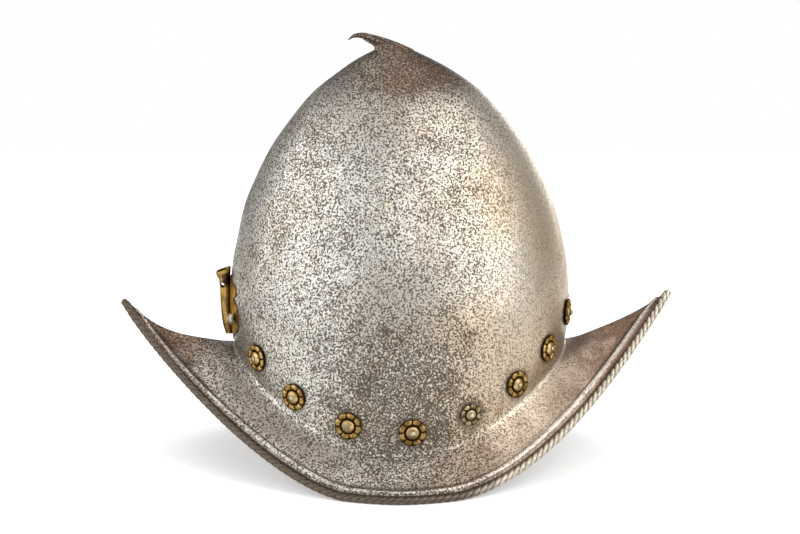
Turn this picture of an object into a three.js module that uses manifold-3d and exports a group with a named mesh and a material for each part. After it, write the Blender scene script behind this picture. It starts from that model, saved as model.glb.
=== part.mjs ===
// Morion helmet, forged in one piece, with brass rosettes and a brass plume holder.
// Millimetres: +X is the front, +Y the wearer's left, +Z up. The origin lies midway between the brim's tips,
// at the level of the lowest edges of the brim, which it rests on.

import * as THREE from "three";
import { mergeVertices } from "three/addons/utils/BufferGeometryUtils.js";
import Module from "manifold-3d";

// Driving dimensions of the brim
const frontReach = 171.5; // from the middle of the skull to the front tip
const rearReach = 176;
const brimWidth = 236;
const frontTipRise = 100.5; // underside of the tips above the lowest edge
const rearTipRise = 94.5;
const rollRadius = 2.4; // turned edge
const ridgeHeight = 0.9; // raised line inside the turned edge
const grooveDepth = 0.6;
const ridgeSpan = 7.4; // from the turned edge to the ridge's inner foot
const ridgeCrest = 4.2;
const grooveCentre = 1.3;
const sideSag = 2.2; // hollow of the brim under a straight line, at the sides and along each peak
const frontSag = 2.8;
const rearSag = 7.5;

// Driving dimensions of the skull
const skullLength = 213;
const skullWidth = 180;
const crownHeight = 256.5;
const sideJunction = 22; // where the skull meets the brim, above the lowest edge
const frontJunction = 71;
const rearJunction = 70;
const wall = 1.2;
const crownThickness = 7; // solid metal under the stalk
const filletReach = 2.6;

// Driving dimensions of the stalk
const stalkReach = 32;
const stalkRise = 11.2;
const stalkWidth = 14;

// Driving dimensions of the rosettes and rivets
const rosetteDiameter = 17;
const rosetteHeight = 2.7;
const rivetShank = 2.6; // diameter
const rivetHead = 3.8;
const rivetHeadHeight = 1;
const peenDiameter = 5.2;
const peenHeight = 1.1;

// Driving dimensions of the plume holder
const holderTop = 118; // level of the tube's mouth
const flangeFootLift = 0.8; // its lowest point above the fillet at the skull's foot
const flangeTop = 114;
const flangeWidth = 56;
const flangeThickness = 1.2;
const flangeStandOff = 0.7; // the sheet never lies quite flat on the skull
const tubeProud = 10; // how far the mouth stands off the skull
const tubeWidth = 9.8;
const tubeWall = 0.6;
const tubeFoot = 77.5; // level where the tube ends
const mouthLean = 0.35; // fall of the mouth's plane for each millimetre away from the skull
const holderRivetSpan = 40;
const holderRivetLevel = 91;
const holderRivetHead = 7.8;
const holderRivetHeadHeight = 2.8;

const clearance = 0.3; // between pieces that lie on or pass through one another

// Shapes of the outlines
const columns = 48; // around the skull and brim
const columnSpread = 0.75; // 1 spaces the columns evenly along the rim, 0 crowds them at the tips
const rimFullness = 1.75; // plan of the rim: fuller with a larger value
const rimPoint = 1.1; // plan of the tips: more pointed with a larger value
const frontRimPower = 1.83; // how the rim climbs to each tip
const rearRimPower = 1.5;
const rearFlick = 0.045; // share of the rear tip's rise that comes in its last few columns
const flickPower = 12;
const sideTilt = -Math.PI / 4; // lie of the turned edge, outwards and down at the sides
const tipTilt = 0.47;
const baseFullness = 1.88; // sections of the skull: 2 is an ellipse, less has a keel at each end
const crownFullness = 1.66;

// Rows of the skull: height above the junction as a share of the way to the crown,
// then length, width and lean to the rear as shares of the skull's length and width.
const skullRows = [
  { up: 0.07, length: 0.992, width: 0.985, lean: 0 },
  { up: 0.16, length: 1.0, width: 1.0, lean: 0 },
  { up: 0.27, length: 0.99, width: 0.988, lean: 0 },
  { up: 0.37, length: 0.957, width: 0.95, lean: 0 },
  { up: 0.475, length: 0.912, width: 0.888, lean: 0.001 },
  { up: 0.58, length: 0.835, width: 0.8, lean: 0.002 },
  { up: 0.68, length: 0.742, width: 0.692, lean: 0.003 },
  { up: 0.78, length: 0.615, width: 0.56, lean: 0.004 },
  { up: 0.86, length: 0.495, width: 0.432, lean: 0.006 },
  { up: 0.93, length: 0.335, width: 0.282, lean: 0.009 },
  { up: 0.97, length: 0.222, width: 0.182, lean: 0.015 },
  { up: 1.0, length: 0.118, width: 0.09, lean: 0.0175 },
];
const baseRow = { up: 0, length: 0.975, width: 0.97, lean: 0 };
const lastHollowRow = 9; // the hollow closes above this row

// Rows of the stalk: its under and upper edges along the middle plane, as shares of its reach and rise,
// and its width as a share of the width at the root.
const stalkRows = [
  { underX: -0.42, underZ: -0.25, overX: 0.48, overZ: -0.25, width: 1.0 },
  { underX: -0.48, underZ: 0.06, overX: 0.27, overZ: 0.08, width: 0.82 },
  { underX: -0.55, underZ: 0.3, overX: 0.02, overZ: 0.4, width: 0.6 },
  { underX: -0.67, underZ: 0.5, overX: -0.27, overZ: 0.7, width: 0.42 },
  { underX: -0.75, underZ: 0.66, overX: -0.53, overZ: 0.9, width: 0.33 },
  { underX: -0.84, underZ: 0.7, overX: -0.72, overZ: 1.0, width: 0.27 },
  { underX: -0.92, underZ: 0.66, overX: -0.9, overZ: 0.9, width: 0.2 },
];
const stalkTip = { x: -1.0, z: 0.56 };
const stalkSides = 12;

// Places of the rosettes on each side, in degrees round the skull from the front,
// with the height of each above the junction and its size as a share, on the near and far side.
const rosettePlaces = [
  { angle: 10, lift: 24.5, right: 1, left: 1 },
  { angle: 29, lift: 18.5, right: 1, left: 1 },
  { angle: 46, lift: 15.5, right: 1, left: 1 },
  { angle: 64.5, lift: 15.5, right: 0.8, left: 1 },
  { angle: 85, lift: 14.5, right: 1, left: 1 },
  { angle: 108.5, lift: 13.5, right: 1, left: 1 },
  { angle: 129, lift: 13.5, right: 1, left: 1 },
  { angle: 147, lift: 17.5, right: 1, left: 1 },
];

// Rings of a rosette from its hole over the boss and petals to its edge: radius and height as shares,
// and how far the petals swell that ring.
const rosetteRings = [
  { radius: 0.36, height: 0.88, petal: 0 },
  { radius: 0.53, height: 0.28, petal: 0 },
  { radius: 0.8, height: 0.36, petal: 0.14 },
  { radius: 0.97, height: 0.15, petal: 0.03 },
];
const petals = 8;

// Rows of the plume holder's flange from its lowest point: height and half width as shares.
const flangeRows = [
  { up: 0.0, half: 0.05 },
  { up: 0.12, half: 0.42 },
  { up: 0.26, half: 0.86 },
  { up: 0.44, half: 1.0 },
  { up: 0.62, half: 0.92 },
  { up: 0.74, half: 0.68 },
  { up: 0.8, half: 0.8 },
  { up: 0.91, half: 0.76 },
  { up: 1.0, half: 0.34 },
];
const flangeColumns = 6;

// Rows of the plume holder's tube from its mouth down: how far it stands off and its width, as shares.
const tubeRows = [
  { down: 0.0, proud: 1.0, width: 1.0 },
  { down: 0.04, proud: 1.0, width: 1.0 },
  { down: 0.07, proud: 0.86, width: 0.9 },
  { down: 0.13, proud: 0.78, width: 0.88 },
  { down: 0.27, proud: 0.7, width: 0.86 },
  { down: 0.45, proud: 0.66, width: 0.84 },
  { down: 0.65, proud: 0.65, width: 0.78 },
  { down: 0.84, proud: 0.61, width: 0.66 },
  { down: 1.0, proud: 0.5, width: 0.5 },
];
const boreRows = 6; // the bore ends at this row
const tubeSides = 12;

const holderBottom = rearJunction + filletReach + flangeFootLift;
const middleX = (rearReach - frontReach) / 2; // middle of the skull, where the rim is lowest

const wasm = await Module();
wasm.setup();

// A closed geometry from loops of equally many points. The ends close to a point each,
// or the last loop joins the first where no points are given.
function skin(loops, startPoint, endPoint) {
  const count = loops[0].length;
  const points = loops.flat();
  const faces = [];
  const ring = !startPoint;
  for (let i = 0; i < loops.length - (ring ? 0 : 1); i++) {
    const next = (i + 1) % loops.length;
    for (let k = 0; k < count; k++) {
      const a = i * count + k;
      const b = i * count + ((k + 1) % count);
      const c = next * count + ((k + 1) % count);
      const d = next * count + k;
      faces.push(a, b, c, a, c, d);
    }
  }
  if (!ring) {
    const start = points.push(startPoint) - 1;
    const end = points.push(endPoint) - 1;
    const last = (loops.length - 1) * count;
    for (let k = 0; k < count; k++) {
      faces.push(start, (k + 1) % count, k);
      faces.push(end, last + k, last + ((k + 1) % count));
    }
  }
  const geometry = new THREE.BufferGeometry().setFromPoints(points);
  geometry.setIndex(signedVolume(points, faces) < 0 ? faces.reverse() : faces);
  return geometry;
}

function signedVolume(points, faces) {
  let sum = 0;
  const cross = new THREE.Vector3();
  for (let i = 0; i < faces.length; i += 3) {
    cross.crossVectors(points[faces[i + 1]], points[faces[i + 2]]);
    sum += points[faces[i]].dot(cross);
  }
  return sum / 6;
}

function toSolid(geometry) {
  const plain = geometry.clone();
  plain.deleteAttribute("normal");
  plain.deleteAttribute("uv");
  const merged = mergeVertices(plain, 1e-4);
  return new wasm.Manifold(
    new wasm.Mesh({
      numProp: 3,
      vertProperties: merged.attributes.position.array,
      triVerts: new Uint32Array(merged.index.array),
    }),
  );
}

function fromSolid(solid) {
  const mesh = solid.getMesh();
  const geometry = new THREE.BufferGeometry();
  geometry.setAttribute("position", new THREE.BufferAttribute(mesh.vertProperties, 3));
  geometry.setIndex(new THREE.BufferAttribute(mesh.triVerts, 1));
  return geometry;
}

const signedPower = (value, power) => Math.sign(value) * Math.abs(value) ** power;
const mix = THREE.MathUtils.lerp;

// The skull's surface

function rowAt(up) {
  const rows = [baseRow, ...skullRows];
  const next = rows.findIndex((row) => row.up >= up);
  if (next <= 0) return next < 0 ? rows[rows.length - 1] : baseRow;
  const share = (up - rows[next - 1].up) / (rows[next].up - rows[next - 1].up);
  return {
    length: mix(rows[next - 1].length, rows[next].length, share),
    width: mix(rows[next - 1].width, rows[next].width, share),
    lean: mix(rows[next - 1].lean, rows[next].lean, share),
  };
}

function junctionLevel(alongShare) {
  const end = alongShare > 0 ? frontJunction : rearJunction;
  return mix(sideJunction, end, alongShare ** 2);
}

function skullPoint(angle, up) {
  const fullness = mix(baseFullness, crownFullness, up);
  const along = signedPower(Math.cos(angle), 2 / fullness);
  const across = signedPower(Math.sin(angle), 2 / fullness);
  const row = rowAt(up);
  const level = mix(junctionLevel(along), crownHeight, up);
  return new THREE.Vector3(
    middleX + ((along * row.length) / 2 - row.lean) * skullLength,
    (across * row.width * skullWidth) / 2,
    level,
  );
}

function skullNormal(angle, up) {
  const turn = Math.PI / columns;
  const climb = 0.01;
  const round = skullPoint(angle + turn, up).sub(skullPoint(angle - turn, up));
  const rise = skullPoint(angle, up + climb).sub(skullPoint(angle, Math.max(0, up - climb)));
  return round.cross(rise).normalize();
}

function upAtLift(angle, lift) {
  const along = signedPower(Math.cos(angle), 2 / baseFullness);
  return lift / (crownHeight - junctionLevel(along));
}

// The place on the rear of the skull at a given distance from the middle plane and a given level.
function rearPlace(across, level) {
  let angle = Math.PI;
  let up = 0.1;
  for (let i = 0; i < 40; i++) {
    const fullness = mix(baseFullness, crownFullness, up);
    const half = (rowAt(up).width * skullWidth) / 2;
    const sine = signedPower(Math.min(1, Math.abs(across) / half), fullness / 2);
    angle = Math.PI - Math.sign(across) * Math.asin(sine);
    const along = signedPower(Math.cos(angle), 2 / fullness);
    const junction = junctionLevel(along);
    up = Math.max(0, (level - junction) / (crownHeight - junction));
  }
  return { angle, up };
}

const rearNormal = (across, level) => {
  const place = rearPlace(across, level);
  return skullNormal(place.angle, place.up);
};

function rearPoint(across, level, off) {
  const place = rearPlace(across, level);
  const point = skullPoint(place.angle, place.up);
  return point.addScaledVector(skullNormal(place.angle, place.up), off);
}

// The rim

function rimShare(angle) {
  const fromSide = Math.abs(Math.PI / 2 - Math.abs(angle)) / (Math.PI / 2);
  return mix(Math.abs(Math.cos(angle)), fromSide, columnSpread);
}

const levelShare = rimShare(Math.PI / 2 - (2 * Math.PI) / columns); // the level stretch that it rests on

function climbAt(share, forward) {
  if (forward) return share ** frontRimPower;
  return mix(share ** rearRimPower, share ** flickPower, rearFlick);
}

function rimAt(index) {
  const angle = wrap(index) * ((2 * Math.PI) / columns);
  const signed = angle > Math.PI ? angle - 2 * Math.PI : angle;
  const share = rimShare(signed);
  const forward = Math.cos(signed) > 0;
  const climb = climbAt(Math.max(0, (share - levelShare) / (1 - levelShare)), forward);
  const half = (brimWidth / 2) * Math.max(0, 1 - share ** rimFullness) ** rimPoint;
  return {
    climb,
    point: new THREE.Vector3(
      middleX + share * (forward ? frontReach : -rearReach),
      Math.sign(signed) * half * (share < 1 ? 1 : 0),
      rollRadius + climb * (forward ? frontTipRise : rearTipRise),
    ),
  };
}

const wrap = (index) => (index + columns) % columns;

// The turned edge at one column: its centre, and its axes along the rim, outwards and upwards.
function rollAt(index) {
  const here = rimAt(index);
  const along = rimAt(index + 1).point.sub(rimAt(index - 1).point).normalize();
  const level = new THREE.Vector3(along.y, -along.x, 0).normalize();
  const up = new THREE.Vector3().crossVectors(level, along).normalize();
  const tilt = mix(sideTilt, tipTilt, here.climb);
  return {
    centre: here.point.clone().addScaledVector(level, -rollRadius),
    out: level.clone().multiplyScalar(Math.cos(tilt)).addScaledVector(up, Math.sin(tilt)),
    up: up.clone().multiplyScalar(Math.cos(tilt)).addScaledVector(level, -Math.sin(tilt)),
    edge: rimAt(index + 1).point.sub(here.point).normalize(),
  };
}

const rollSides = 8;
const rollCorner = rollRadius / Math.cos(Math.PI / rollSides);

function rollPoint(roll, corner) {
  const angle = ((corner + 0.5) * 2 * Math.PI) / rollSides;
  return roll.centre
    .clone()
    .addScaledVector(roll.out, rollCorner * Math.cos(angle))
    .addScaledVector(roll.up, rollCorner * Math.sin(angle));
}

// The brim between the skull and the turned edge

function brimColumn(index) {
  const angle = (index * 2 * Math.PI) / columns;
  const roll = rollAt(index);
  const start = skullPoint(angle, 0);
  const end = rollPoint(roll, 3);
  const reach = end.clone().sub(start);
  const length = reach.length();
  const skew = Math.max(0.5, new THREE.Vector3().crossVectors(reach, roll.edge).length() / length);
  const along = signedPower(Math.cos(angle), 2 / baseFullness);
  const sag = mix(sideSag, along > 0 ? frontSag : rearSag, along ** 4);
  const at = (share) => {
    const bow = share ** 1.5;
    const point = start.clone().addScaledVector(reach, share);
    point.z -= sag * 4 * bow * (1 - bow);
    return point;
  };
  const foot = 1 - ridgeSpan / skew / length;
  return {
    at,
    up: roll.up,
    inner: [filletReach / length, 0.28 * foot, 0.52 * foot, 0.77 * foot, foot],
    crest: 1 - ridgeCrest / skew / length,
    groove: 1 - grooveCentre / skew / length,
    roll,
  };
}

function shellGeometry() {
  const cols = Array.from({ length: columns }, (_, k) => k);
  const angles = cols.map((k) => (k * 2 * Math.PI) / columns);
  const brim = cols.map(brimColumn);

  // Outer face from the crown down to the turned edge
  const skullLoops = [...skullRows].reverse().map((row) => angles.map((angle) => skullPoint(angle, row.up)));
  const filletLoop = angles.map((angle) => skullPoint(angle, upAtLift(angle, filletReach)));
  const innerBrim = brim[0].inner.map((_, i) => brim.map((col) => col.at(col.inner[i])));
  const outer = [...skullLoops, filletLoop, ...innerBrim];
  const crest = brim.map((col) => col.at(col.crest).addScaledVector(col.up, ridgeHeight));
  const groove = brim.map((col) => col.at(col.groove).addScaledVector(col.up, -grooveDepth));
  const corners = [3, 2, 1, 0, -1, -2, -3, -4];
  const edge = corners.map((corner) => brim.map((col) => rollPoint(col.roll, corner)));

  // Inner face, a wall's thickness inside
  const smooth = [...outer, edge[0]];
  const inner = [];
  for (let i = skullRows.length - lastHollowRow; i < outer.length; i++)
    inner.push(cols.map((k) => inset(smooth, i, k)));
  inner.reverse();

  const crownPoint = new THREE.Vector3(middleX, 0, crownHeight + wall);
  const hollowPoint = new THREE.Vector3(middleX, 0, crownHeight - crownThickness);
  return skin([...outer, crest, groove, ...edge, ...inner], crownPoint, hollowPoint);
}

// A point of the inner face, behind the outer face's point.
function inset(loops, row, k) {
  const round = loops[row][wrap(k + 1)].clone().sub(loops[row][wrap(k - 1)]);
  const down = loops[row + 1][k].clone().sub(loops[row - 1][k]);
  const normal = down.cross(round).normalize();
  return loops[row][k].clone().addScaledVector(normal, -wall);
}

function stalkGeometry() {
  const loops = stalkRows.map((row) => {
    const under = new THREE.Vector3(row.underX * stalkReach, 0, row.underZ * stalkRise);
    const over = new THREE.Vector3(row.overX * stalkReach, 0, row.overZ * stalkRise);
    const centre = under.clone().add(over).multiplyScalar(0.5);
    const half = over.clone().sub(under).multiplyScalar(0.5);
    return Array.from({ length: stalkSides }, (_, k) => {
      const angle = (k * 2 * Math.PI) / stalkSides;
      const point = centre.clone().addScaledVector(half, Math.cos(angle));
      point.y = ((row.width * stalkWidth) / 2) * Math.sin(angle);
      return point.add(new THREE.Vector3(middleX, 0, crownHeight));
    });
  });
  const root = new THREE.Vector3(middleX, 0, crownHeight + stalkRows[0].underZ * stalkRise);
  const tip = new THREE.Vector3(middleX + stalkTip.x * stalkReach, 0, crownHeight + stalkTip.z * stalkRise);
  return skin(loops, root, tip);
}

// Rosettes and rivets. Each lies along its own Y axis, with the skull's outer face at 0.

function rosetteGeometry(size) {
  const radius = (rosetteDiameter / 2) * size;
  const height = rosetteHeight * size;
  const hole = rivetShank / 2 + clearance;
  const spokes = petals * 2;
  const ring = (ringRadius, ringHeight, swell) =>
    Array.from({ length: spokes }, (_, k) => {
      const angle = (k * 2 * Math.PI) / spokes;
      const wave = k % 2 ? -1 : 1;
      const reach = ringRadius * (1 + wave * swell * 0.4);
      return new THREE.Vector3(
        reach * Math.cos(angle),
        clearance + ringHeight + (wave * swell * radius) / 4,
        reach * Math.sin(angle),
      );
    });
  const top = rosetteRings.map((row) => ring(row.radius * radius, row.height * height, row.petal));
  const loops = [ring(hole, height, 0), ...top, ring(radius, 0, 0.03), ring(hole, 0, 0)];
  return skin(loops);
}

// Allowance for the flat facets of the inner face, which stand in from the true curve.
const facetSag = Math.max(skullLength, skullWidth) * (1 - Math.cos(Math.PI / columns));

function rivetGeometry(seat, head, headHeight) {
  const inside = -(wall + facetSag + clearance);
  const under = seat + clearance;
  const profile = [
    [0, under + headHeight],
    [head * 0.36, under + headHeight * 0.75],
    [head * 0.5, under],
    [rivetShank / 2, under],
    [rivetShank / 2, inside],
    [peenDiameter / 2, inside],
    [peenDiameter * 0.36, inside - peenHeight * 0.8],
    [0, inside - peenHeight],
  ].map(([x, y]) => new THREE.Vector2(x, y));
  return new THREE.LatheGeometry(profile.reverse(), 8);
}

function holeCutter(place) {
  const radius = rivetShank / 2 + clearance;
  const cutter = new THREE.CylinderGeometry(radius, radius, 6 * wall, 8);
  return toSolid(cutter.applyMatrix4(place.matrix));
}

// A place on the skull's face, with its Y axis along the face's normal.
function placeOn(point, normal) {
  const upright = new THREE.Vector3(0, 1, 0);
  const turn = new THREE.Quaternion().setFromUnitVectors(upright, normal);
  const matrix = new THREE.Matrix4().compose(point, turn, new THREE.Vector3(1, 1, 1));
  return { point, turn, matrix };
}

function placeAt(angle, up) {
  return placeOn(skullPoint(angle, up), skullNormal(angle, up));
}

// The plume holder

function flangeGeometry() {
  const inside = flangeStandOff;
  const outside = flangeStandOff + flangeThickness;
  const loops = flangeRows.map((row) => {
    const level = mix(holderBottom, flangeTop, row.up);
    const half = (row.half * flangeWidth) / 2;
    const shares = Array.from({ length: flangeColumns + 1 }, (_, k) => (2 * k) / flangeColumns - 1);
    const back = shares.map((share) => rearPoint(share * half, level, inside));
    const front = shares.map((share) => rearPoint(share * half, level, outside));
    return [...back, ...front.reverse()];
  });
  return skin(loops, middleOf(loops[0]), middleOf(loops[loops.length - 1]));
}

function middleOf(loop) {
  const sum = loop.reduce((total, point) => total.add(point), new THREE.Vector3());
  return sum.multiplyScalar(1 / loop.length);
}

// One section of the tube, thinner than its outer size by the given amount all round.
function tubeLoop(row, thinner) {
  const level = mix(holderTop, tubeFoot, row.down);
  const near = flangeStandOff + thinner;
  const far = row.proud * tubeProud - thinner;
  const halfDepth = (far - near) / 2;
  const halfWidth = (row.width * tubeWidth) / 2 - thinner;
  const centre = rearPoint(0, level, (near + far) / 2);
  return Array.from({ length: tubeSides }, (_, k) => {
    const angle = (k * 2 * Math.PI) / tubeSides;
    const away = halfDepth * Math.cos(angle);
    return new THREE.Vector3(
      centre.x - away,
      halfWidth * Math.sin(angle),
      centre.z - away * mouthLean * (1 - row.down),
    );
  });
}

function holderGeometry() {
  const outerLoops = tubeRows.map((row) => tubeLoop(row, 0));
  const tube = skin(outerLoops, middleOf(outerLoops[0]), middleOf(outerLoops[outerLoops.length - 1]));
  const boreLoops = tubeRows.slice(0, boreRows).map((row) => tubeLoop(row, tubeWall));
  const above = boreLoops[0].map((point) => point.clone().setZ(point.z + tubeWall));
  const bore = skin([above, ...boreLoops], middleOf(above), middleOf(boreLoops[boreLoops.length - 1]));
  return toSolid(flangeGeometry()).add(toSolid(tube)).subtract(toSolid(bore));
}

// Materials

const steel = () => new THREE.MeshStandardMaterial({ color: 0x8f8a80, roughness: 0.42, metalness: 1 });
const brass = () => new THREE.MeshStandardMaterial({ color: 0xa98f55, roughness: 0.38, metalness: 1 });
const iron = () => new THREE.MeshStandardMaterial({ color: 0x77736a, roughness: 0.5, metalness: 1 });

// Assembly

const helmet = new THREE.Group();

function addPiece(name, geometry, material, place) {
  const mesh = new THREE.Mesh(geometry, material);
  mesh.name = name;
  if (place) {
    mesh.position.copy(place.point);
    mesh.quaternion.copy(place.turn);
  }
  helmet.add(mesh);
}

let shell = toSolid(shellGeometry()).add(toSolid(stalkGeometry()));

const rosetteStops = [];
for (const side of [-1, 1])
  for (const stop of rosettePlaces)
    rosetteStops.push({
      angle: (side * stop.angle * Math.PI) / 180,
      lift: stop.lift,
      size: side < 0 ? stop.right : stop.left,
    });

rosetteStops.forEach((stop, i) => {
  const number = String(i + 1).padStart(2, "0");
  const place = placeAt(stop.angle, upAtLift(stop.angle, stop.lift));
  const seat = clearance + rosetteHeight * stop.size;
  addPiece("rosette_" + number, rosetteGeometry(stop.size), brass(), place);
  addPiece("rivet_" + number, rivetGeometry(seat, rivetHead, rivetHeadHeight), iron(), place);
  shell = shell.subtract(holeCutter(place));
});

let holder = holderGeometry();
[-1, 1].forEach((side, i) => {
  const across = (side * holderRivetSpan) / 2;
  const place = placeOn(rearPoint(across, holderRivetLevel, 0), rearNormal(across, holderRivetLevel));
  const seat = flangeStandOff + flangeThickness;
  addPiece("plume_rivet_" + (i + 1), rivetGeometry(seat, holderRivetHead, holderRivetHeadHeight), iron(), place);
  shell = shell.subtract(holeCutter(place));
  holder = holder.subtract(holeCutter(place));
});
addPiece("plume_holder", fromSolid(holder), brass());
addPiece("helmet_shell", fromSolid(shell), steel());

export default helmet;
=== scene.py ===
import math
import bpy
from mathutils import Matrix, Vector, noise


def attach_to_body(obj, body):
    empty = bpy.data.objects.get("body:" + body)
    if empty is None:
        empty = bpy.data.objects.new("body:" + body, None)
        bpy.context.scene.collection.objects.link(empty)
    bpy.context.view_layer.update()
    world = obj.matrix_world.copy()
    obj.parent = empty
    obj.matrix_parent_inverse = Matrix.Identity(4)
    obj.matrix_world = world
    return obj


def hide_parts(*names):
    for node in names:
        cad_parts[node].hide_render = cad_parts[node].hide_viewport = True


# Morion helmet: the looks of the forged shell, its roped edge, rosettes, rivets and plume holder.
# Blender works in metres, in the CAD frame. Sizes in the dictionaries are millimetres, laid down with mm.

mm = 0.001
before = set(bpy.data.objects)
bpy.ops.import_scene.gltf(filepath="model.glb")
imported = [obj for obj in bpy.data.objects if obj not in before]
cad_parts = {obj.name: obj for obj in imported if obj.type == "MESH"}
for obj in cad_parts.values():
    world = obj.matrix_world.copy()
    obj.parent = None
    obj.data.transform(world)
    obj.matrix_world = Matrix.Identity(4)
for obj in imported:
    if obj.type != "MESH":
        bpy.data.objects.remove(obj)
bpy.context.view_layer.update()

rim = {  # plan and climb of the brim's edge, as on the CAD solid
    "width": 236.0,
    "middleX": 2.25,  # middle of the skull, where the edge is lowest
    "frontReach": 171.5,
    "rearReach": 176.0,
    "frontRise": 100.5,
    "rearRise": 94.5,
    "roll": 2.4,  # radius of the turned edge
    "fullness": 1.75,
    "point": 1.1,
    "frontPower": 1.83,
    "rearPower": 1.5,
    "flick": 0.045,
    "flickPower": 12,
    "levelAngle": math.radians(15),  # half of the level stretch, round the skull
    "spread": 0.75,
    "sideTilt": -math.pi / 4,
    "tipTilt": 0.47,
    "tipMerge": 0.05,  # how far round from a tip the two sides' rolls join
}

skull = {
    "length": 213.0,
    "width": 180.0,
    "crown": 256.5,
    "sideJunction": 22.0,
    "frontJunction": 71.0,
    "rearJunction": 70.0,
    "wall": 1.2,
    "baseFullness": 1.88,
    "crownFullness": 1.66,
    "rows": [  # height, length, width and lean to the rear, as shares
        (0.0, 0.975, 0.97, 0.0),
        (0.07, 0.992, 0.985, 0.0),
        (0.16, 1.0, 1.0, 0.0),
        (0.27, 0.99, 0.988, 0.0),
        (0.37, 0.957, 0.95, 0.0),
        (0.475, 0.912, 0.888, 0.001),
        (0.58, 0.835, 0.8, 0.002),
        (0.68, 0.742, 0.692, 0.003),
        (0.78, 0.615, 0.56, 0.004),
        (0.86, 0.495, 0.432, 0.006),
        (0.93, 0.335, 0.282, 0.009),
        (0.97, 0.222, 0.182, 0.015),
        (1.0, 0.118, 0.09, 0.0175),
    ],
}


def mix(a, b, share):
    return a + (b - a) * share


def smoothStep(low, high, value):
    share = max(0.0, min(1.0, (value - low) / (high - low)))
    return share * share * (3 - 2 * share)


def signedPower(value, power):
    return math.copysign(abs(value) ** power, value)


def curveThrough(rows, column, at):  # a monotone curve through one column of a table
    places = [row[0] for row in rows]
    values = [row[column] for row in rows]
    slopes = [(values[k + 1] - values[k]) / (places[k + 1] - places[k]) for k in range(len(rows) - 1)]
    i = next((k for k in range(len(slopes)) if at <= places[k + 1]), len(slopes) - 1)

    def tangent(k):
        if k == 0 or k == len(slopes):
            return slopes[min(k, len(slopes) - 1)]
        before, after = slopes[k - 1], slopes[k]
        return 0.0 if before * after <= 0 else 2 * before * after / (before + after)

    span = places[i + 1] - places[i]
    t = (at - places[i]) / span
    start = (2 * t**3 - 3 * t**2 + 1) * values[i] + (t**3 - 2 * t**2 + t) * span * tangent(i)
    return start + (3 * t**2 - 2 * t**3) * values[i + 1] + (t**3 - t**2) * span * tangent(i + 1)


# Forms of the skull and the rim


def junctionLevel(along):
    end = skull["frontJunction"] if along > 0 else skull["rearJunction"]
    return mix(skull["sideJunction"], end, along**2)


def skullPoint(angle, up):
    fullness = mix(skull["baseFullness"], skull["crownFullness"], up)
    along = signedPower(math.cos(angle), 2 / fullness)
    across = signedPower(math.sin(angle), 2 / fullness)
    length, width, lean = [curveThrough(skull["rows"], column, up) for column in (1, 2, 3)]
    return Vector((
        rim["middleX"] + (along * length / 2 - lean) * skull["length"],
        across * width * skull["width"] / 2,
        mix(junctionLevel(along), skull["crown"], up),
    ))


def skullNormal(angle, up):
    turn, climb = 0.02, 0.01
    around = skullPoint(angle + turn, up) - skullPoint(angle - turn, up)
    rise = skullPoint(angle, up + climb) - skullPoint(angle, max(0.0, up - climb))
    return around.cross(rise).normalized()


def upAtLift(angle, lift):
    along = signedPower(math.cos(angle), 2 / skull["baseFullness"])
    return lift / (skull["crown"] - junctionLevel(along))


def rearPlace(across, level):  # angle and height of a place behind the skull
    angle, up = math.pi, 0.1
    for _ in range(14):
        fullness = mix(skull["baseFullness"], skull["crownFullness"], up)
        half = curveThrough(skull["rows"], 2, up) * skull["width"] / 2
        sine = min(1.0, abs(across) / half) ** (fullness / 2)
        angle = math.pi - math.copysign(math.asin(sine), across)
        junction = junctionLevel(signedPower(math.cos(angle), 2 / fullness))
        up = max(0.0, (level - junction) / (skull["crown"] - junction))
    return angle, up


def rearPoint(across, level, off):
    angle, up = rearPlace(across, level)
    return skullPoint(angle, up) + skullNormal(angle, up) * off


def rimShare(angle):
    fromSide = abs(math.pi / 2 - abs(angle)) / (math.pi / 2)
    return mix(abs(math.cos(angle)), fromSide, rim["spread"])


def rimPoint(angle):
    angle = (angle + math.pi) % (2 * math.pi) - math.pi
    levelShare = rimShare(math.pi / 2 - rim["levelAngle"])
    share = rimShare(angle)
    climb = max(0.0, (share - levelShare) / (1 - levelShare))
    half = rim["width"] / 2 * max(0.0, 1 - share ** rim["fullness"]) ** rim["point"]
    if math.cos(angle) > 0:
        climb = climb ** rim["frontPower"]
        x, z = share * rim["frontReach"], climb * rim["frontRise"]
    else:
        climb = mix(climb ** rim["rearPower"], climb ** rim["flickPower"], rim["flick"])
        x, z = -share * rim["rearReach"], climb * rim["rearRise"]
    return Vector((rim["middleX"] + x, math.copysign(half, angle), rim["roll"] + z)), climb


def rimTangent(angle):
    step = 0.004
    return (rimPoint(angle + step)[0] - rimPoint(angle - step)[0]).normalized()


def sideFrame(angle):  # centre of the turned edge and its level outward axis, away from the tips
    along = rimTangent(angle)
    level = Vector((along.y, -along.x, 0)).normalized()
    return rimPoint(angle)[0] - level * rim["roll"], level, along


def tipTurn(tip):  # where the two sides' centre lines would cross near a tip
    low, high = 0.001, 0.4
    for _ in range(40):
        middle = (low + high) / 2
        if sideFrame(tip + middle)[0].y * math.copysign(1, math.sin(tip + middle)) < 0:
            low = middle
        else:
            high = middle
    return high + rim["tipMerge"]


tipTurns = {0.0: tipTurn(0.0), math.pi: tipTurn(-math.pi)}


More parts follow.
